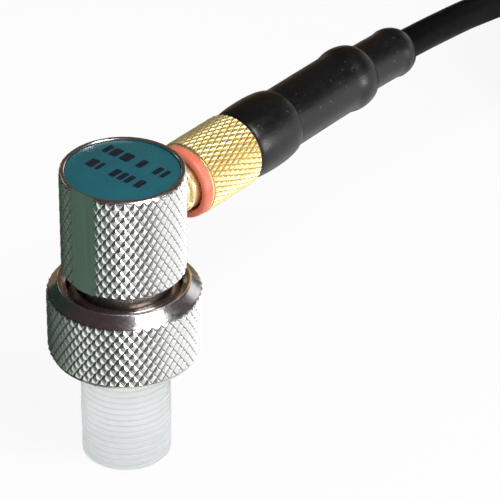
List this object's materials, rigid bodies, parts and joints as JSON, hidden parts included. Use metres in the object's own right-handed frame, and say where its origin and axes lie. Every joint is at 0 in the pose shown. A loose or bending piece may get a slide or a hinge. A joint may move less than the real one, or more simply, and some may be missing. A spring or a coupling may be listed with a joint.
{
  "type": "delay line ultrasonic transducer",
  "caption": "Delay line contact transducer: knurled steel head, ring clamping a translucent tip, and a gold side jack with a booted coaxial lead ending in a bayonet plug.",
  "frame": {"origin": "centre of the delay line's flat tip face, on the surface the transducer stands on", "axes": "+Z along the transducer's axis towards the label disc, +X along the side jack, its plug and the lead, the milled flat faces -X"},
  "size_m": [0.1876, 0.0234, 0.0269],
  "materials": {
    "stainless_steel": "turned and knurled, bright",
    "blue_label": "glossy blue-green face",
    "frosted_plastic": "translucent, fine turned lines",
    "matching_layer": "lapped",
    "piezo_ceramic": "fired ceramic",
    "backing_resin": "filled resin",
    "white_insulator": "smooth",
    "potting_resin": "cast",
    "copper_wire": "drawn",
    "gold_plate": "pale gold plating, knurled nut",
    "red_silicone": "soft, matt",
    "black_shrink_sleeve": "satin, slightly uneven",
    "black_jacket": "satin",
    "tie_fabric": "woven strap",
    "nickel_plate": "bright nickel"
  },
  "bodies": {
    "transducer": {"case": "stainless_steel", "label_disc": "blue_label", "delay_line": "frosted_plastic", "wear_plate": "matching_layer", "piezo_element": "piezo_ceramic", "backing": "backing_resin", "insulating_sleeve": "white_insulator", "potting": "potting_resin", "signal_wire": "copper_wire", "ground_wire": "copper_wire", "jack_body": "gold_plate", "jack_insulator": "white_insulator", "jack_contact": "gold_plate", "plug_body": "gold_plate", "plug_insulator": "white_insulator", "plug_pin": "gold_plate", "crimp_ferrule": "gold_plate", "boot_outer": "black_shrink_sleeve", "boot_middle": "black_shrink_sleeve", "boot_inner": "black_shrink_sleeve", "cable": "black_jacket", "cable_coil": "black_jacket", "coil_tie": "tie_fabric", "cable_tail": "black_jacket", "bayonet_boot": "black_shrink_sleeve", "bayonet_ferrule": "nickel_plate", "bayonet_body": "nickel_plate", "bayonet_insulator": "white_insulator", "bayonet_pin": "gold_plate", "bayonet_gasket": "red_silicone"},
    "retaining_ring": {"retaining_ring": "stainless_steel"},
    "coupling_nut": {"coupling_nut": "gold_plate", "nut_gasket": "red_silicone"},
    "bayonet_sleeve": {"bayonet_sleeve": "nickel_plate"}
  },
  "joints": [
    {"name": "ring_turn", "type": "hinge", "parent": "transducer", "child": "retaining_ring", "pos_m": [0, 0, 0.0133], "axis": [0, 0, 1], "continuous": true},
    {"name": "nut_turn", "type": "hinge", "parent": "transducer", "child": "coupling_nut", "pos_m": [0.0107, 0, 0.02229], "axis": [1, 0, 0], "continuous": true},
    {"name": "bayonet_turn", "type": "hinge", "parent": "transducer", "child": "bayonet_sleeve", "pos_m": [0.1745, -0.0044, 0.0072], "axis": [1, 0, 0], "continuous": true}
  ]
}
